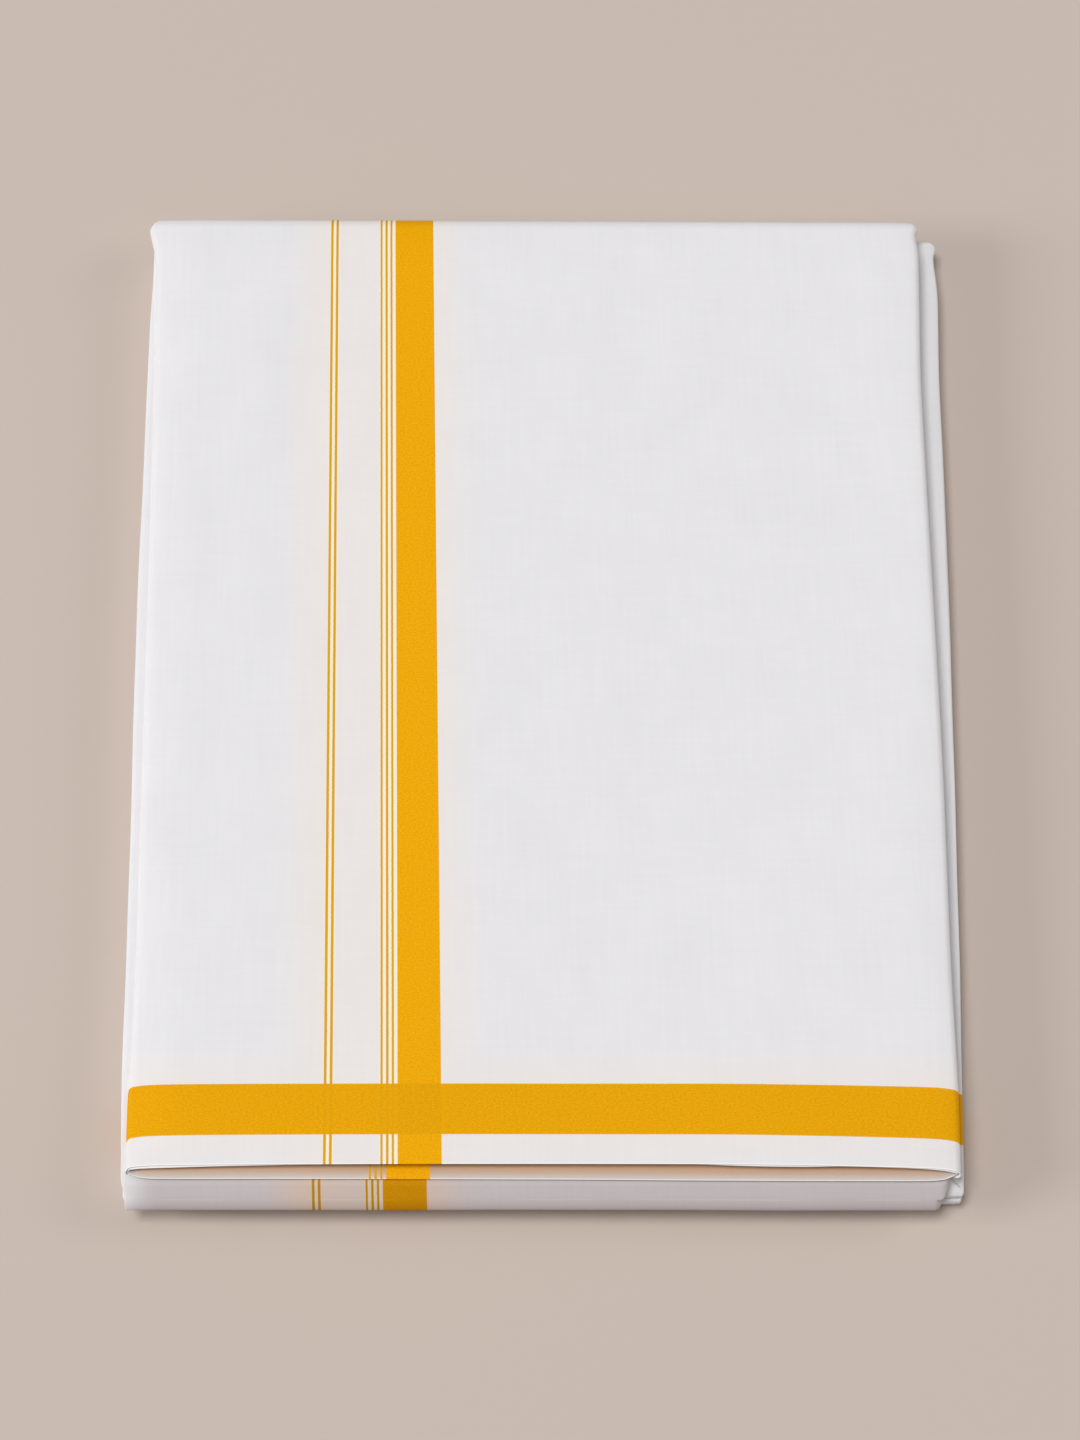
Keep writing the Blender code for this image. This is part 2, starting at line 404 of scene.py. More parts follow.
def crease_height(x, y):
    """Height of the soft creases and swells at a place on the front."""
    height = 0.0
    for middle_x, middle_y, length, width, turn, depth in CREASES:
        angle = math.radians(turn)
        dx, dy = x / MM - middle_x, y / MM - middle_y
        along = (dx * math.cos(angle) + dy * math.sin(angle)) / (length / 2)
        bend = CREASE_BEND * length * math.sin(along * CREASE_SINE + turn)
        across = (dy * math.cos(angle) - dx * math.sin(angle) + bend) / width
        height += depth * MM * math.exp(-along ** 4 - across ** 2)
    for swell, waves_x, drift, start_x, waves_y, start_y in SWELLS:
        across_wave = math.sin(x * waves_x + y * drift + start_x)
        height += swell * MM * across_wave * math.sin(y * waves_y + start_y)
    return height * sizes().crease_scale


def droop(gap, depth, reach):
    """How far the front bends down at a gap from an edge."""
    share = min(max(1 - gap / (reach * MM), 0.0), 1.0)
    return depth * MM * share ** 2


def cloth_x(x, y):
    """Place across the cloth of a point on the packet, which lies askew."""
    rise = y - TRUE_HEIGHT
    return (x + ASKEW * rise) / (1 - NARROWING * rise)


def fold_path(hem, end, face, radius, turn, rows, steps):
    """Stations (run, y, z, normal y, normal z) along a wall and round its fold.

    The rows crowd a little towards the hem.
    """
    crowding = 1.15
    centre_y = end - radius
    straight = centre_y - hem
    stations = []
    for row in range(rows):
        run = straight * (row / rows) ** crowding
        stations.append((run, hem + run, face, 0.0, 1.0))
    for step in range(steps + 1):
        angle = turn * step / steps
        normal_y, normal_z = math.sin(angle), math.cos(angle)
        stations.append((
            straight + radius * angle,
            centre_y + radius * normal_y,
            face - radius + radius * normal_z,
            normal_y,
            normal_z,
        ))
    return stations


def cloth_object(name, bm, thickness, material):
    """Make a named object of a sheet, give it its thickness and smooth it."""
    bpy.ops.object.select_all(action="DESELECT")
    mesh = bpy.data.meshes.new(name)
    bm.to_mesh(mesh)
    bm.free()
    piece = bpy.data.objects.new(name, mesh)
    bpy.context.scene.collection.objects.link(piece)
    piece.select_set(True)
    bpy.context.view_layer.objects.active = piece
    if thickness:
        wall = piece.modifiers.new("Cloth", "SOLIDIFY")
        wall.thickness = thickness
        wall.offset = -1.0
        bpy.ops.object.modifier_apply(modifier=wall.name)
    bpy.ops.object.shade_smooth_by_angle(angle=SMOOTH_ANGLE)
    mesh.materials.append(material)
    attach(piece, "root")
    return piece


def weave_grid(points, coordinates, closed):
    """A sheet of faces through rows of points, with its cloth coordinates."""
    bm = bmesh.new()
    layer = bm.loops.layers.uv.new("cloth")
    rows = [[bm.verts.new(point) for point in row] for row in points]
    columns = len(rows[0])
    last = columns if closed else columns - 1
    for row in range(len(rows) - 1):
        for column in range(last):
            after = (column + 1) % columns
            corners = ((row, column), (row, after), (row + 1, after), (row + 1, column))
            face = bm.faces.new([rows[r][c] for r, c in corners])
            for loop, (r, c) in zip(face.loops, corners):
                loop[layer].uv = coordinates[r][c]
    return bm


def wall_places(left, right, bend, columns):
    """Places x along the straight part of a wall."""
    width = right - left - 2 * bend
    return [left + bend + width * column / columns for column in range(columns + 1)]


def flap_points(left, right):
    """Points (x, depth) across the flap, turned round at its sides."""
    bend, turn = 1.9 * MM, math.radians(168)
    columns, steps = 104, 9
    angles = [turn * step / steps for step in range(1, steps + 1)]
    points = [
        (left + bend - bend * math.sin(angle), bend * (1 - math.cos(angle)))
        for angle in reversed(angles)
    ]
    points += [(x, 0.0) for x in wall_places(left, right, bend, columns)]
    points += [
        (right - bend + bend * math.sin(angle), bend * (1 - math.cos(angle))) for angle in angles
    ]
    return points


def tube_points(left, right, bend):
    """Points (x, depth) round a flat tube, from the left end of its front."""
    columns, steps = 90, 10
    front = wall_places(left, right, bend, columns)
    angles = [math.pi * step / steps for step in range(1, steps)]
    points = [(x, 0.0) for x in front]
    points += [
        (right - bend + bend * math.sin(angle), bend * (1 - math.cos(angle))) for angle in angles
    ]
    points += [(x, 2 * bend) for x in reversed(front)]
    points += [
        (left + bend - bend * math.sin(angle), bend * (1 + math.cos(angle))) for angle in angles
    ]
    return points


def near_mouth(run):
    """1 at the flap's hem, fading to 0 where its mouth is closed."""
    return 1 - ease(run / sizes().mouth_reach)


def cloth_sag(x, run):
    """How much lower the flap's cloth hangs at a place, fading up the flap."""
    return read_table(HEM_DROP, x) * (1 - ease(run / SAG_REACH))


def top_slope(x, y):
    """How much higher the top fold stands towards the left."""
    return TOP_SLOPE * (RIGHT - x) / (RIGHT - LEFT) * ease((y - SLOPE_START) / SLOPE_LENGTH)


def mouth_height(x, run):
    """How far the flap's mouth stands open at a place."""
    across = min(abs(x) / HALF_WIDTH, 1.0)
    return sizes().mouth_lift * near_mouth(run) * (1 - across ** 4)


def front_lift(x, y, run, normal_z, left, right):
    """How far the front stands above its flat face at a place."""
    relief = max(normal_z, 0.0) * ease(run / RELIEF_REACH + RELIEF_AT_HEM)
    creases = crease_height(x, y) * ease(min(x - left, right - x) / FLAT_EDGE)
    drooped = droop(x - left, *LEFT_DROOP) + droop(right - x, *RIGHT_DROOP)
    drooped += droop(TOP - TOP_RADIUS - y, *TOP_DROOP)
    return mouth_height(x, run) + (creases - drooped) * relief


def make_front_cloth(material):
    """The flap's outermost layer, from its hem over the top fold."""
    size = sizes()
    rows, fold_steps = 150, 22
    # How far the turned sides lag behind, as a share of their depth
    hem_lag, stripe_lag = 0.30, 0.10
    stations = fold_path(size.front_hem, TOP, FRONT_FACE, TOP_RADIUS, math.pi, rows, fold_steps)
    points, coordinates = [], []
    for run, y, z, normal_y, normal_z in stations:
        left, right = read_table(FLAP_EDGES, y, 1), read_table(FLAP_EDGES, y, 2)
        row, cloth = [], []
        for x, depth in flap_points(left, right):
            lift = front_lift(x, y, run, normal_z, left, right)
            shift = cloth_sag(x, run) + hem_lag * depth * near_mouth(run) - top_slope(x, y)
            row.append((x, y - shift - depth * normal_y, z + lift - depth * normal_z))
            cloth.append((cloth_x(x, y), run + stripe_lag * depth))
        points.append(row)
        coordinates.append(cloth)
    piece = cloth_object("front_cloth", weave_grid(points, coordinates, False), size.cloth, material)
    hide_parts("front_panel")
    return piece


def make_second_cloth(material):
    """The layer nested in the flap: a flat tube whose rear wall has the lip."""
    size = sizes()
    rows, fold_steps, turn = 96, 14, math.radians(130)
    # Depth of the front and the rear wall under the front's face, and how far
    # the tube stands in from the flap's left and right edge
    front_depth, rear_depth = 0.55 * MM, 2.7 * MM
    left_inset, right_inset = 0.7 * MM, 0.6 * MM
    # How far the rear wall's stripes lie to the left
    rear_drift = 3.5 * MM
    bend = (rear_depth - front_depth) / 2
    stations = fold_path(
        size.front_hem, TOP - front_depth, FRONT_FACE - front_depth, TOP_RADIUS - front_depth,
        turn, rows, fold_steps,
    )
    points, coordinates = [], []
    for run, y, z, normal_y, normal_z in stations:
        left = read_table(FLAP_EDGES, y, 1) + left_inset
        right = read_table(FLAP_EDGES, y, 2) - right_inset
        row, cloth = [], []
        for x, depth in tube_points(left, right, bend):
            rear = depth / (2 * bend)
            front_hem = size.front_hem - read_table(NESTED_DROP, x) - read_table(HEM_DROP, x)
            hem = front_hem + (read_table(LIP, x) - front_hem) * ease(rear)
            sag = cloth_sag(x, run)
            shift = sag + (size.front_hem - hem - sag) * near_mouth(run) - top_slope(x, y)
            lift = front_lift(x, y, run, normal_z, left, right) * (1 - rear)
            row.append((x, y - shift - depth * normal_y, z + lift - depth * normal_z))
            place = SECOND_START + run + REAR_STEP * rear
            cloth.append((cloth_x(x + rear_drift * rear, y), place))
        points.append(row)
        coordinates.append(cloth)
    piece = cloth_object("second_cloth", weave_grid(points, coordinates, True), size.cloth, material)
    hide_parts("second_layer")
    return piece


def outline(left, right, bottom, top, below, above):
    """Points (x, y, facing, share of the way) round a rectangle.

    Its lower corners are rounded by one radius and its upper ones by another.
    """
    corners = (
        (right - below, bottom + below, -90, below),
        (right - above, top - above, 0, above),
        (left + above, top - above, 90, above),
        (left + below, bottom + below, 180, below),
    )
    places = []
    for index, (middle_x, middle_y, start, radius) in enumerate(corners):
        for step in range(CORNER_STEPS + 1):
            facing = math.radians(start + 90 * step / CORNER_STEPS)
            out_x, out_y = math.cos(facing), math.sin(facing)
            places.append((middle_x + radius * out_x, middle_y + radius * out_y, facing))
        after_x, after_y, _, after = corners[(index + 1) % 4]
        here_x, here_y, _ = places[-1]
        way_x, way_y = after_x + after * out_x - here_x, after_y + after * out_y - here_y
        steps = END_STEPS if index % 2 else SIDE_STEPS
        for step in range(1, steps):
            share = step / steps
            places.append((here_x + share * way_x, here_y + share * way_y, facing))
    lengths = [math.dist(places[at][:2], places[at - 1][:2]) for at in range(len(places))]
    total, gone, points = sum(lengths), 0.0, []
    for (x, y, facing), length in zip(places, lengths):
        gone += length
        points.append((x, y, facing, gone / total))
    return points


def wander(share, seed):
    """A slow, uneven stray of a fold on its closed way round the packet."""
    way = 2 * math.pi * share
    return sum(size * math.sin(waves * way + seed * turn) for size, waves, turn in STRAY_WAVES)


def fold_stray(share, group, layer, nested, smooth):
    """How far a fold strays: by its group and layer, or as one where it is smooth."""
    stray = GROUP_STRAY * wander(share, group + 1)
    stray += LAYER_STRAY * nested * wander(share, layer + 0.5)
    return stray + smooth * (NOSE_STRAY * wander(share, NOSE_SEED) - stray)


def nose_inset(level):
    """How far the body's bottom fold stands in at a height from 0 to 1.

    It is round up to where it is widest and leans back above that.
    """
    if level < NOSE_WIDEST:
        return NOSE_ROUND * (1 - math.sqrt(1 - (1 - level / NOSE_WIDEST) ** 2))
    share = (level - NOSE_WIDEST) / (1 - NOSE_WIDEST)
    rounded = NOSE_ROUND * ease((share - NOSE_EDGE) / (1 - NOSE_EDGE))
    return NOSE_LEAN * share ** NOSE_POWER + rounded


def side_inset(out_x, y, has_nose):
    """How far the outer folds stand in at the left and the right."""
    if out_x < 0.0:
        return -out_x * read_table(OUTER_EDGES, y, 1)
    if has_nose:
        return out_x * BODY_LEAN * ease((y - BODY_LEAN_START) / BODY_LEAN_LENGTH)
    return out_x * read_table(OUTER_EDGES, y, 2)


def stack_rings(base, height, groups, has_nose):
    """Rings of points round a stack of folds, each with its group's number."""
    rings = []
    low = 0.0
    for number, (high, left, right, bottom, top, below, above, layers) in enumerate(groups):
        half = (high - low) / 2
        samples = LAYER_RINGS * layers
        for sample in range(samples + 1):
            place = 2 * sample / samples - 1
            level = low + half * (place + 1)
            round_off = 1 - math.sqrt(max(1 - abs(place) ** GROOVE_POWER, 0.0))
            groove = GROOVE_SHARE * half * height * round_off
            nested = abs(math.sin(math.pi * layers * (place + 1) / 2))
            layer = GROUP_SEEDS * number + min(sample // LAYER_RINGS, layers - 1)
            nose = nose_inset(min(level, NOSE_TOP)) if has_nose else 0.0
            box = (LEFT + left * MM, RIGHT - right * MM, BOTTOM + bottom * MM + nose, TOP - top * MM)
            ring = []
            for x, y, facing, share in outline(*box, below * MM, above * MM):
                out_x, out_y = math.cos(facing), math.sin(facing)
                smooth = filled = 0.0
                if has_nose:
                    smooth = ease((-out_y - SMOOTH_FACING) / SMOOTH_GROWTH)
                    filled = FILL_SHARE * ease((y - TOP + FILL_START) / FILL_LENGTH)
                shown = nested + (1 - nested) * smooth
                stray = fold_stray(share, number, layer, nested, smooth)
                inset = groove * (1 - max(smooth, filled)) + LAYER_NOTCH * (1 - math.sqrt(shown))
                inset += sizes().fold_wander * (1 - stray) + side_inset(out_x, y, has_nose)
                ring.append((x - out_x * inset, y - out_y * inset, base + height * level))
            rings.append((ring, number))
        low = high
    return rings


def close_stack(ring, height):
    """Inner rings that carry a stack's end ring to its middle."""
    middle_x = (min(point[0] for point in ring) + max(point[0] for point in ring)) / 2
    middle_y = (min(point[1] for point in ring) + max(point[1] for point in ring)) / 2
    half_x = max(point[0] for point in ring) - middle_x
    half_y = max(point[1] for point in ring) - middle_y
    carried = []
    for inset in CARRIED_INSETS:
        scale_x, scale_y = 1 - inset * MM / half_x, 1 - inset * MM / half_y
        carried.append([
            (middle_x + (x - middle_x) * scale_x, middle_y + (y - middle_y) * scale_y, height)
            for x, y, _ in ring
        ])
    return carried


def make_stack(name, base, height, groups, has_nose, cloth_place, material):
    """A stack of folds with a flat base, nested layers showing at its edges."""
    rings = stack_rings(base, height, groups, has_nose)
    below = [(ring, 0) for ring in reversed(close_stack(rings[0][0], base))]
    above = [(ring, len(groups) - 1) for ring in close_stack(rings[-1][0], base + height)]
    ordered = below + rings + above
    points = [ring for ring, _ in ordered]
    coordinates = [[cloth_place(point, number) for point in ring] for ring, number in ordered]
    bm = weave_grid(points, coordinates, True)
    layer = bm.loops.layers.uv.active
    bm.verts.ensure_lookup_table()
    count = len(points[0])
    for ring in (list(reversed(bm.verts[:count])), list(bm.verts[-count:])):
        face = bm.faces.new(ring)
        for loop in face.loops:
            loop[layer].uv = cloth_place((0.0, 0.0, base), 0)
    bmesh.ops.triangulate(bm, faces=[face for face in bm.faces if len(face.verts) > 4])
    return cloth_object(name, bm, 0.0, material)


def body_cloth_place(point, number):
    """Cloth coordinates on the body, the same for each of its groups.

    They run up the bottom fold and back along the sides.
    """
    x, y, z = point
    shift = STRIPE_SHIFT - (STRIPE_SHIFT - PAIR_SHIFT) * ease((PAIR_START - x) / PAIR_LENGTH)
    return cloth_x(x + shift, y), BODY_START + y - BOTTOM + z - BACK_TOP


def back_cloth_place(point, number):
    """Cloth coordinates on the back half, which shows the border but no stripes."""
    if number == PLAIN_GROUP:
        return PLAIN_PLACE, PLAIN_PLACE
    run = point[1] - sizes().front_hem
    if number == LOWERED_GROUP:
        run += LOWERED_BY
    return PLAIN_PLACE, run


def make_body_cloth(material):
    """The front half's folds, whose bottom fold shows under the flap."""
    base = BACK_TOP + STACK_GAP
    height = BODY_FACE - STACK_GAP - base
    piece = make_stack("body_cloth", base, height, BODY_GROUPS, True, body_cloth_place, material)
    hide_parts("bottom_fold", "inner_layers")
    return piece


def make_back_cloth(material):
    """The back half's folds, standing out at the right, with the flat back."""
    height = BACK_TOP - STACK_GAP
    piece = make_stack("back_cloth", 0.0, height, BACK_GROUPS, False, back_cloth_place, material)
    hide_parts("inner_layers")
    return piece


class Weave:
    """Builds the nodes of one woven material on the cloth's own coordinates."""

    def __init__(self, name):
        self.material = bpy.data.materials.new(name)
        self.material.use_nodes = True
        self.tree = self.material.node_tree
        self.shader = self.tree.nodes["Principled BSDF"]
        self.cloth = self.node("ShaderNodeUVMap", uv_map="cloth").outputs[0]
        split = self.node("ShaderNodeSeparateXYZ")
        self.join(self.cloth, split.inputs[0])
        self.across, self.along = split.outputs[0], split.outputs[1]

    def node(self, kind, **settings):
        """A node of this kind with these settings."""
        node = self.tree.nodes.new(kind)
        for key, value in settings.items():
            setattr(node, key, value)
        return node

    def join(self, value, socket):
        """Link a socket, or set a plain value."""
        if isinstance(value, bpy.types.NodeSocket):
            self.tree.links.new(value, socket)
        else:
            socket.default_value = value

    def sum(self, operation, *values):
        """The result of a math node."""
        node = self.node("ShaderNodeMath", operation=operation)
        for index, value in enumerate(values):
            self.join(value, node.inputs[index])
        return node.outputs[0]

    def largest(self, values):
        """The largest of some values."""
        result = values[0]
        for value in values[1:]:
            result = self.sum("MAXIMUM", result, value)
        return result

    def distance(self, value, place):
        """How far a value lies from a place."""
        return self.sum("ABSOLUTE", self.sum("SUBTRACT", value, place))

    def step(self, value, low, high, first=0.0, last=1.0):
        """A smooth step of a value between two limits."""
        node = self.node("ShaderNodeMapRange", interpolation_type="SMOOTHSTEP")
        for socket, entry in zip(node.inputs, (value, low, high, first, last)):
            self.join(entry, socket)
        return node.outputs[0]

    def fade(self, value, limits, first, last, start=0.0):
        """A smooth step between two limits in millimetres past a start."""
        low, high = limits
        return self.step(value, start + low * MM, start + high * MM, first, last)

    def stripe(self, value, middle, width, soft=0.10):
        """1 inside a stripe and 0 outside it, its sizes in millimetres."""
        edge = (width / 2 - soft, width / 2 + soft)
        return self.fade(self.distance(value, middle * MM), edge, 1.0, 0.0)

    def mix(self, share, first, second, blend="MIX"):
        """A mix of two colours."""
        node = self.node("ShaderNodeMix", data_type="RGBA", blend_type=blend)
        self.join(share, node.inputs[0])
        self.join(first, node.inputs[6])
        self.join(second, node.inputs[7])
        return node.outputs[2]

    def noise(self, scale, detail=2.0, stretch=(1.0, 1.0, 1.0)):
        """A noise value on stretched cloth coordinates."""
        mapping = self.node("ShaderNodeMapping")
        self.join(self.cloth, mapping.inputs[0])
        mapping.inputs["Scale"].default_value = stretch
        node = self.node("ShaderNodeTexNoise")
        self.join(mapping.outputs[0], node.inputs["Vector"])
        node.inputs["Scale"].default_value = scale
        node.inputs["Detail"].default_value = detail
        return node.outputs["Fac"]


# Woven stripes across the cloth: middle and width in millimetres
PAIR_LINES = ((-65.0, 0.82), (-63.25, 0.82))
THREE_LINES = ((-48.25, 0.66), (-46.55, 0.74), (-44.9, 0.66))
CROSS_BAND = (-37.05, 12.9)
# Brighter, warmer white between the thin lines: one stripe for the pair and one
# for the three, how soft their edges are and how strong they show
WHITE_STRIPES = ((-64.12, 3.1), (-46.2, 5.4))
WHITE_SOFT = 0.35
WHITE_SHARE = 0.85
WARM_WHITE = (0.99, 0.90, 0.66, 1.0)
# Gold of the thin lines where they run alone, and how much of it the border hides
LINE_GOLD = (0.72, 0.385, 0.012, 1.0)
LINE_HIDDEN = 0.8
# Brightness of the gold: lowest, and what the grain, the border and a crossing of
# two bands add
GOLD_LOW = 0.80
GOLD_GRAIN = 0.46
GOLD_BORDER = -0.06
GOLD_CROSSING = -0.03

# Threads: distance, how far a stripe's edge strays, and the scale of the noise in
# that stray, in the slubs, in the grain and in the soft clouds
THREAD = 0.40 * MM
STRAY = 0.09 * MM
STRAY_SCALE = 1600.0
SLUB_SCALE = 420.0
GRAIN_SCALE = 2300.0
CLOUD_SCALE = 55.0
# How the noise is squeezed: drawn out across the cloth or along it
STRAY_ACROSS = (0.2, 2.0, 1.0)
STRAY_ALONG = (2.0, 0.2, 1.0)
SLUB_ACROSS = (0.10, 2.0, 1.0)
SLUB_ALONG = (2.0, 0.10, 1.0)
GRAIN_SQUEEZE = (0.6, 1.0, 1.0)
# Shares of the slubs in the threads that run across the cloth and along it
SLUB_SHARES = (0.4, 0.6)
# How much the slubs and the clouds darken and lighten the white
SLUB_SHADE = 0.090
CLOUD_SHADE = 0.065
# Height of the crossing threads, the gold's twill and its grain beside the slubs,
# and how strong and how deep the whole relief is
CHECKER_HEIGHT = 0.20
TWILL_HEIGHT = 0.30
GRAIN_HEIGHT = 0.6
TWILL_STEP = 2.2 * THREAD
RELIEF_STRENGTH = 0.30
RELIEF_DEPTH = 0.08 * MM

# Warm glow beside the gold: the stripes' middle across the cloth and where the
# glow fades out, where it is weaker between them, and where it fades beside the
# border, all in millimetres
GLOW_MIDDLE = -49.0
GLOW_FADE = (16, 33)
GLOW_HOLLOW = (8, 18)
HOLLOW_SHARE = 0.65
GLOW_BESIDE_BORDER = (7, 20)
FLAP_GLOW = 0.24
BODY_GLOW = 0.75
BORDER_GLOW = 0.20

# Painted warm shade in the flap's mouth, with painted warm light in its deeper part,
# by the way in from the lip in millimetres: where the tint starts on the turned edge,
# where it and its deeper part grow, and where both fade out; then the share at the
# lip and the deeper part's share
TINT_START = (-20, -1)
TINT_GROWTH = (0.0, 4.5)
DEEP_GROWTH = (0.3, 3.6)
TINT_FADE = (40, 80)
LIP_SHARE = 0.48
DEEP_SHARE = 0.60
DEEP_MOUTH_LIGHT = (0.72, 0.43, 0.25, 1.0)

# Painted highlight along a hem's edge, where the edge would catch the light: its
# span in millimetres, its colour, and how strong it shows in the flap's mouth and
# elsewhere
EDGE_HIGHLIGHT_SPAN = (0.1, 0.6)
EDGE_HIGHLIGHT_WHITE = (0.97, 0.955, 0.945, 1.0)
MOUTH_EDGE_HIGHLIGHT_SHARE = 0.5
EDGE_HIGHLIGHT_SHARE = 0.9

# Soft shade on the body in millimetres: it fades beyond the flap and at the left
# end, and is deeper on the underside of the bottom fold
BESIDE_FLAP = (22, 38)
LEFT_END = (3, 16)
LEFT_END_SHARE = 0.15
UNDERSIDE = (2.2, 9.5)
UNDERSIDE_SHARE = 0.50

# Roughness of cotton and gold, the gold's metal look, and the cotton's sheen
COTTON_ROUGHNESS = 0.88
GOLD_ROUGHNESS = 0.62
GOLD_METAL = 0.10
SHEEN = 0.02
SHEEN_ROUGHNESS = 0.5
SPECULAR = 0.04


def loose_edge(weave, value, stretch):
    """A place on the cloth that strays a little, as threads do."""
    jitter = weave.noise(STRAY_SCALE, 0.0, stretch)
    return weave.sum("MULTIPLY_ADD", jitter, 2 * STRAY, weave.sum("SUBTRACT", value, STRAY))


def gold_pattern(weave, has_pair):
    """The gold of the thin lines, of all upright stripes and of the border."""
    across = loose_edge(weave, weave.across, STRAY_ACROSS)
    along = loose_edge(weave, weave.along, STRAY_ALONG)
    lines = PAIR_LINES + THREE_LINES if has_pair else THREE_LINES
    thin = weave.largest([weave.stripe(across, *line) for line in lines])
    upright = weave.largest([thin, weave.stripe(across, *CROSS_BAND)])
    low, high = sizes().band_low / MM, sizes().band_high / MM
    border = weave.stripe(along, (low + high) / 2, high - low)
    return thin, upright, border


def slubs(weave):
    """Uneven threads both ways, a little stronger along the cloth."""
    across, along = weave.noise(SLUB_SCALE, 2.0, SLUB_ACROSS), weave.noise(SLUB_SCALE, 2.0, SLUB_ALONG)
    share_across, share_along = SLUB_SHARES
    along = weave.sum("MULTIPLY", along, share_along)
    return weave.sum("MULTIPLY_ADD", across, share_across, along)


def white_cotton(weave, slub, has_pair, has_nose):
    """The white ground, with a warm glow beside the gold."""
    tone, size = colours(), sizes()
    cloud = weave.sum("SUBTRACT", weave.noise(CLOUD_SCALE, 3.0), 0.5)
    shade = weave.sum("MULTIPLY_ADD", slub, SLUB_SHADE, 1 - SLUB_SHADE / 2)
    shade = weave.sum("MULTIPLY_ADD", cloud, CLOUD_SHADE, shade)
    white = weave.mix(1.0, tuple(tone.cotton), shade, "MULTIPLY")

    near = weave.distance(weave.across, GLOW_MIDDLE * MM)
    glow = weave.fade(near, GLOW_FADE, BODY_GLOW if has_nose else FLAP_GLOW, 0.0)
    glow = weave.sum("MULTIPLY", glow, weave.fade(near, GLOW_HOLLOW, HOLLOW_SHARE, 1.0))
    near_border = weave.distance(weave.along, (size.band_low + size.band_high) / 2)
    beside = weave.fade(near_border, GLOW_BESIDE_BORDER, BORDER_GLOW, 0.0)
    white = weave.mix(weave.largest([glow, beside]), white, tuple(tone.glow))

    stripes = WHITE_STRIPES if has_pair else WHITE_STRIPES[1:]
    bright = weave.largest([weave.stripe(weave.across, *stripe, WHITE_SOFT) for stripe in stripes])
    return weave.mix(weave.sum("MULTIPLY", bright, WHITE_SHARE), white, WARM_WHITE)


def paint_mouth_shade_and_light(weave, white):
    """Painted warm shade in the flap's mouth, with painted warm light deeper further in."""
    lip = SECOND_START + REAR_STEP
    faded = weave.fade(weave.along, TINT_FADE, 1.0, 0.0, lip)
    inside = weave.fade(weave.along, TINT_GROWTH, LIP_SHARE, 1.0, lip)
    inside = weave.sum("MULTIPLY", inside, faded)
    inside = weave.sum("MULTIPLY", inside, weave.fade(weave.along, TINT_START, 0.0, 1.0, lip))
    # Painted warm shade inside the mouth, growing in from the lip
    white = weave.mix(inside, white, tuple(colours().mouth))
    # Painted warm light deeper in the mouth
    deep = weave.fade(weave.along, DEEP_GROWTH, 0.0, DEEP_SHARE, lip)
    return weave.mix(weave.sum("MULTIPLY", deep, faded), white, DEEP_MOUTH_LIGHT)


def paint_edge_highlights(weave, white, hems, share):
    """A painted highlight along each hem's edge."""
    for hem in hems:
        # Painted highlight: the hem's edge is painted paler where it would catch the light
        line = weave.fade(weave.distance(weave.along, hem), EDGE_HIGHLIGHT_SPAN, share, 0.0)
        white = weave.mix(line, white, EDGE_HIGHLIGHT_WHITE)
    return white


def gold_thread(weave, grain, thin, upright, border):
    """Woven gold, duller where it crosses and paler in the thin lines."""
    crossing = weave.sum("MULTIPLY", upright, border)
    sparkle = weave.sum("MULTIPLY_ADD", grain, GOLD_GRAIN, GOLD_LOW)
    sparkle = weave.sum("MULTIPLY_ADD", border, GOLD_BORDER, sparkle)
    sparkle = weave.sum("MULTIPLY_ADD", crossing, GOLD_CROSSING, sparkle)
    gold = weave.mix(1.0, tuple(colours().gold), sparkle, "MULTIPLY")
    alone = weave.sum("MULTIPLY", thin, weave.sum("MULTIPLY_ADD", border, -LINE_HIDDEN, 1.0))
    return weave.mix(alone, gold, LINE_GOLD)


def shade_body(weave, colour):
    """The soft shade under the flap and on the bottom fold's underside."""
    shaded = tuple(colours().shaded)
    beside_flap = weave.fade(weave.along, BESIDE_FLAP, 1.0, 0.0, BODY_START)
    left_end = weave.fade(weave.across, LEFT_END, LEFT_END_SHARE, 1.0, LEFT)
    colour = weave.mix(weave.sum("MULTIPLY", beside_flap, left_end), colour, shaded, "MULTIPLY")
    underside = weave.fade(weave.along, UNDERSIDE, UNDERSIDE_SHARE, 0.0, BODY_START)
    return weave.mix(underside, colour, shaded, "MULTIPLY")


def raise_threads(weave, slub, grain, gold_share):
    """The fine relief of the threads, with a twill in the gold."""
    waves = [
        weave.sum("SINE", weave.sum("MULTIPLY", value, 2 * math.pi / THREAD))
        for value in (weave.across, weave.along)
    ]
    slant = weave.sum("ADD", weave.across, weave.along)
    twill = weave.sum("SINE", weave.sum("MULTIPLY", slant, 2 * math.pi / TWILL_STEP))
    twill = weave.sum("MULTIPLY", twill, gold_share)
    gold_grain = weave.sum("MULTIPLY", grain, gold_share)
    threads = weave.sum("MULTIPLY_ADD", weave.sum("MULTIPLY", *waves), CHECKER_HEIGHT, slub)
    threads = weave.sum("MULTIPLY_ADD", twill, TWILL_HEIGHT, threads)
    threads = weave.sum("MULTIPLY_ADD", gold_grain, GRAIN_HEIGHT, threads)
    bump = weave.node("ShaderNodeBump")
    bump.inputs["Strength"].default_value = RELIEF_STRENGTH
    bump.inputs["Distance"].default_value = RELIEF_DEPTH
    weave.join(threads, bump.inputs["Height"])
    weave.join(bump.outputs[0], weave.shader.inputs["Normal"])


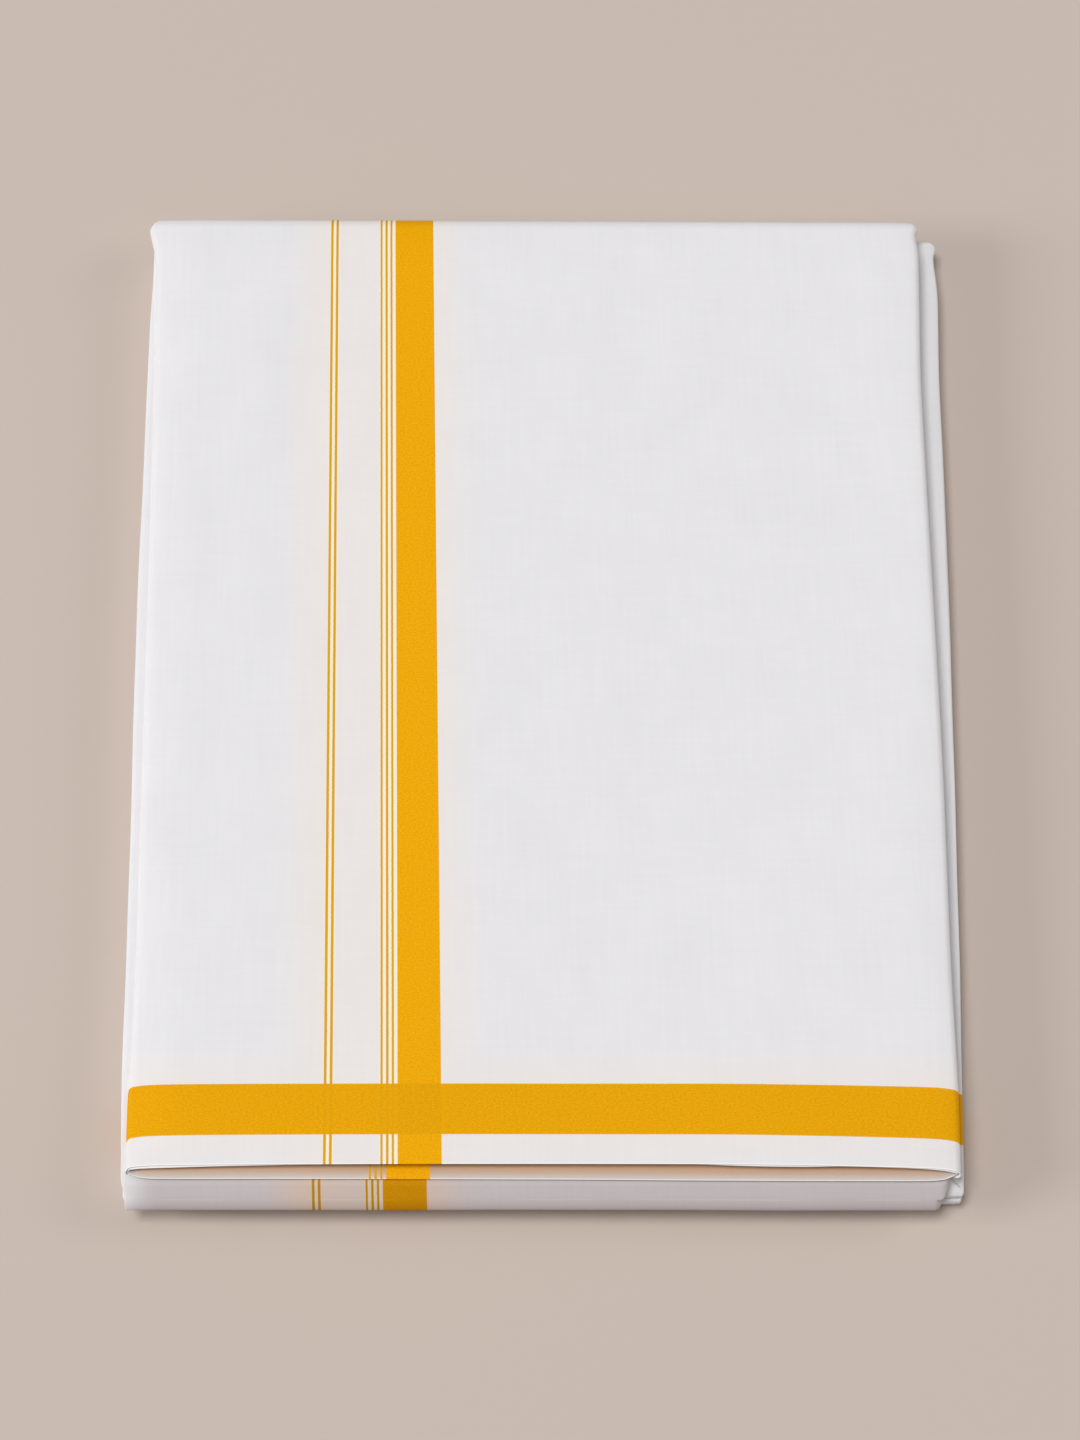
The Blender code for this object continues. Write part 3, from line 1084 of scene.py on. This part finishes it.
def woven_cotton(name, has_pair=True, has_mouth=False, has_nose=False):
    """White cotton with woven gold bands along its border and across it."""
    weave = Weave(name)
    thin, upright, border = gold_pattern(weave, has_pair)
    gold_share = weave.largest([upright, border])
    slub = slubs(weave)
    grain = weave.noise(GRAIN_SCALE, 1.0, GRAIN_SQUEEZE)

    colour = white_cotton(weave, slub, has_pair, has_nose)
    # Painted shade and warm light in the mouth, and painted highlights along the hems' edges
    if has_mouth:
        colour = paint_mouth_shade_and_light(weave, colour)
        hems = (SECOND_START, SECOND_START + REAR_STEP)
        colour = paint_edge_highlights(weave, colour, hems, MOUTH_EDGE_HIGHLIGHT_SHARE)
    else:
        colour = paint_edge_highlights(weave, colour, (0.0,), EDGE_HIGHLIGHT_SHARE)
    if colours().show_bands:
        colour = weave.mix(gold_share, colour, gold_thread(weave, grain, thin, upright, border))
    if has_nose:
        colour = shade_body(weave, colour)

    shader = weave.shader
    weave.join(colour, shader.inputs["Base Color"])
    roughness = weave.step(gold_share, 0.0, 1.0, COTTON_ROUGHNESS, GOLD_ROUGHNESS)
    weave.join(roughness, shader.inputs["Roughness"])
    weave.join(weave.sum("MULTIPLY", gold_share, GOLD_METAL), shader.inputs["Metallic"])
    shader.inputs["Sheen Weight"].default_value = SHEEN
    shader.inputs["Sheen Roughness"].default_value = SHEEN_ROUGHNESS
    shader.inputs["Specular IOR Level"].default_value = SPECULAR
    raise_threads(weave, slub, grain, gold_share)
    return weave.material


class DHOTI_OT_front_cloth(bpy.types.Operator):
    """Model the flap's outermost layer with its gold bands"""

    bl_idname = "dhoti.front_cloth"
    bl_label = "Front Cloth"
    bl_options = {"REGISTER", "UNDO"}

    def execute(self, context):
        make_front_cloth(woven_cotton("banded_cotton"))
        return {"FINISHED"}


class DHOTI_OT_second_cloth(bpy.types.Operator):
    """Model the layer nested in the flap, with the lip in its mouth"""

    bl_idname = "dhoti.second_cloth"
    bl_label = "Second Cloth"
    bl_options = {"REGISTER", "UNDO"}

    def execute(self, context):
        make_second_cloth(woven_cotton("mouth_cotton", has_pair=False, has_mouth=True))
        return {"FINISHED"}


class DHOTI_OT_body_cloth(bpy.types.Operator):
    """Model the front half's folds and the bottom fold"""

    bl_idname = "dhoti.body_cloth"
    bl_label = "Body Cloth"
    bl_options = {"REGISTER", "UNDO"}

    def execute(self, context):
        make_body_cloth(woven_cotton("body_cotton", has_nose=True))
        return {"FINISHED"}


class DHOTI_OT_back_cloth(bpy.types.Operator):
    """Model the back half's folds"""

    bl_idname = "dhoti.back_cloth"
    bl_label = "Back Cloth"
    bl_options = {"REGISTER", "UNDO"}

    def execute(self, context):
        make_back_cloth(woven_cotton("back_cotton"))
        return {"FINISHED"}


# Camera, 20 degrees off the front's normal
CAMERA_TILT = math.radians(20)
CAMERA_PLACE = (-1.45 * MM, -457.05 * MM, 1.25)
FOCAL_PIXELS = 4282
FRAME_HEIGHT_PIXELS = 1440
SENSOR_MM = 36.0
# Soft top light: the place it shines from, strength, spread in degrees
TOP_LIGHT = ((-0.8, -0.15, 3.5), 1.555, 20.0)
# Square lights aimed at the packet: name, place, size, watts, colour
SQUARE_LIGHTS = (
    ("side_light", (-2.8, -0.4, 1.5), 1.2, 41.5, (1.0, 1.0, 1.0)),
    ("fill_light", (2.0, 0.4, 1.5), 1.2, 12.0, (1.0, 1.0, 1.0)),
    ("low_light", (-0.2, -2.2, 1.3), 1.2, 1.2, (1.0, 0.88, 0.84)),
)
WORLD_COLOUR = (1.0, 0.99, 0.985, 1.0)
WORLD_STRENGTH = 0.18
FLOOR_SIZE = 40.0


def make_floor():
    """A plain matt floor under the packet."""
    bpy.ops.object.select_all(action="DESELECT")
    bpy.ops.mesh.primitive_plane_add(size=FLOOR_SIZE, location=(0.0, 0.0, 0.0))
    floor = bpy.context.object
    floor.name = "floor"
    paint = bpy.data.materials.new("floor_paint")
    paint.use_nodes = True
    shader = paint.node_tree.nodes["Principled BSDF"]
    shader.inputs["Base Color"].default_value = tuple(colours().floor)
    shader.inputs["Roughness"].default_value = 0.9
    shader.inputs["Specular IOR Level"].default_value = 0.2
    floor.data.materials.append(paint)


def aim_light(scene, data, place):
    """Put a light at a place, facing the packet."""
    light = bpy.data.objects.new(data.name, data)
    light.location = place
    light.rotation_euler = (-Vector(place)).to_track_quat("-Z", "Y").to_euler()
    scene.collection.objects.link(light)


def light_scene(scene):
    """A wide top light, three square lights and a dim, even sky."""
    place, strength, spread = TOP_LIGHT
    data = bpy.data.lights.new("top_light", "SUN")
    data.angle = math.radians(spread)
    data.energy = strength
    aim_light(scene, data, place)
    for name, place, size, watts, colour in SQUARE_LIGHTS:
        data = bpy.data.lights.new(name, "AREA")
        data.size = size
        data.energy = watts
        data.color = colour
        aim_light(scene, data, place)

    world = bpy.data.worlds.new("studio")
    world.use_nodes = True
    sky = world.node_tree.nodes["Background"]
    sky.inputs["Color"].default_value = WORLD_COLOUR
    sky.inputs["Strength"].default_value = WORLD_STRENGTH
    scene.world = world
    scene.view_settings.view_transform = "Standard"


def place_camera(scene):
    """The camera at the angle that the packet is seen from."""
    data = bpy.data.cameras.new("camera")
    data.sensor_fit = "VERTICAL"
    data.sensor_height = SENSOR_MM
    data.lens = SENSOR_MM * FOCAL_PIXELS / FRAME_HEIGHT_PIXELS
    camera = bpy.data.objects.new("camera", data)
    camera.location = CAMERA_PLACE
    camera.rotation_euler = (CAMERA_TILT, 0.0, 0.0)
    scene.collection.objects.link(camera)
    scene.camera = camera


class DHOTI_OT_stage(bpy.types.Operator):
    """Set the floor, the lights and the camera"""

    bl_idname = "dhoti.stage"
    bl_label = "Stage"
    bl_options = {"REGISTER", "UNDO"}

    def execute(self, context):
        make_floor()
        light_scene(context.scene)
        place_camera(context.scene)
        return {"FINISHED"}


class DHOTI_PT_sidebar(bpy.types.Panel):
    """Buttons for each piece of the folded dhoti"""

    bl_idname = "DHOTI_PT_sidebar"
    bl_label = "Folded Dhoti"
    bl_space_type = "VIEW_3D"
    bl_region_type = "UI"
    bl_category = "Dhoti"

    def draw(self, context):
        layout = self.layout
        for operator in OPERATORS:
            layout.operator(operator.bl_idname)
        for owner in (context.scene.dhoti_sizes, context.scene.dhoti_colours):
            for key in type(owner).__annotations__:
                layout.prop(owner, key)


OPERATORS = (
    DHOTI_OT_stage,
    DHOTI_OT_back_cloth,
    DHOTI_OT_body_cloth,
    DHOTI_OT_second_cloth,
    DHOTI_OT_front_cloth,
)
CLASSES = (DhotiSizes, DhotiColours) + OPERATORS + (DHOTI_PT_sidebar,)


def register():
    """Register the classes and their properties."""
    for item in CLASSES:
        bpy.utils.register_class(item)
    bpy.types.Scene.dhoti_sizes = PointerProperty(type=DhotiSizes)
    bpy.types.Scene.dhoti_colours = PointerProperty(type=DhotiColours)


def unregister():
    """Take the classes and their properties away again."""
    del bpy.types.Scene.dhoti_colours
    del bpy.types.Scene.dhoti_sizes
    for item in reversed(CLASSES):
        bpy.utils.unregister_class(item)


def main():
    """Build the stage and every piece."""
    register()
    bpy.ops.dhoti.stage()
    bpy.ops.dhoti.back_cloth()
    bpy.ops.dhoti.body_cloth()
    bpy.ops.dhoti.second_cloth()
    bpy.ops.dhoti.front_cloth()


if __name__ == "__main__":
    main()
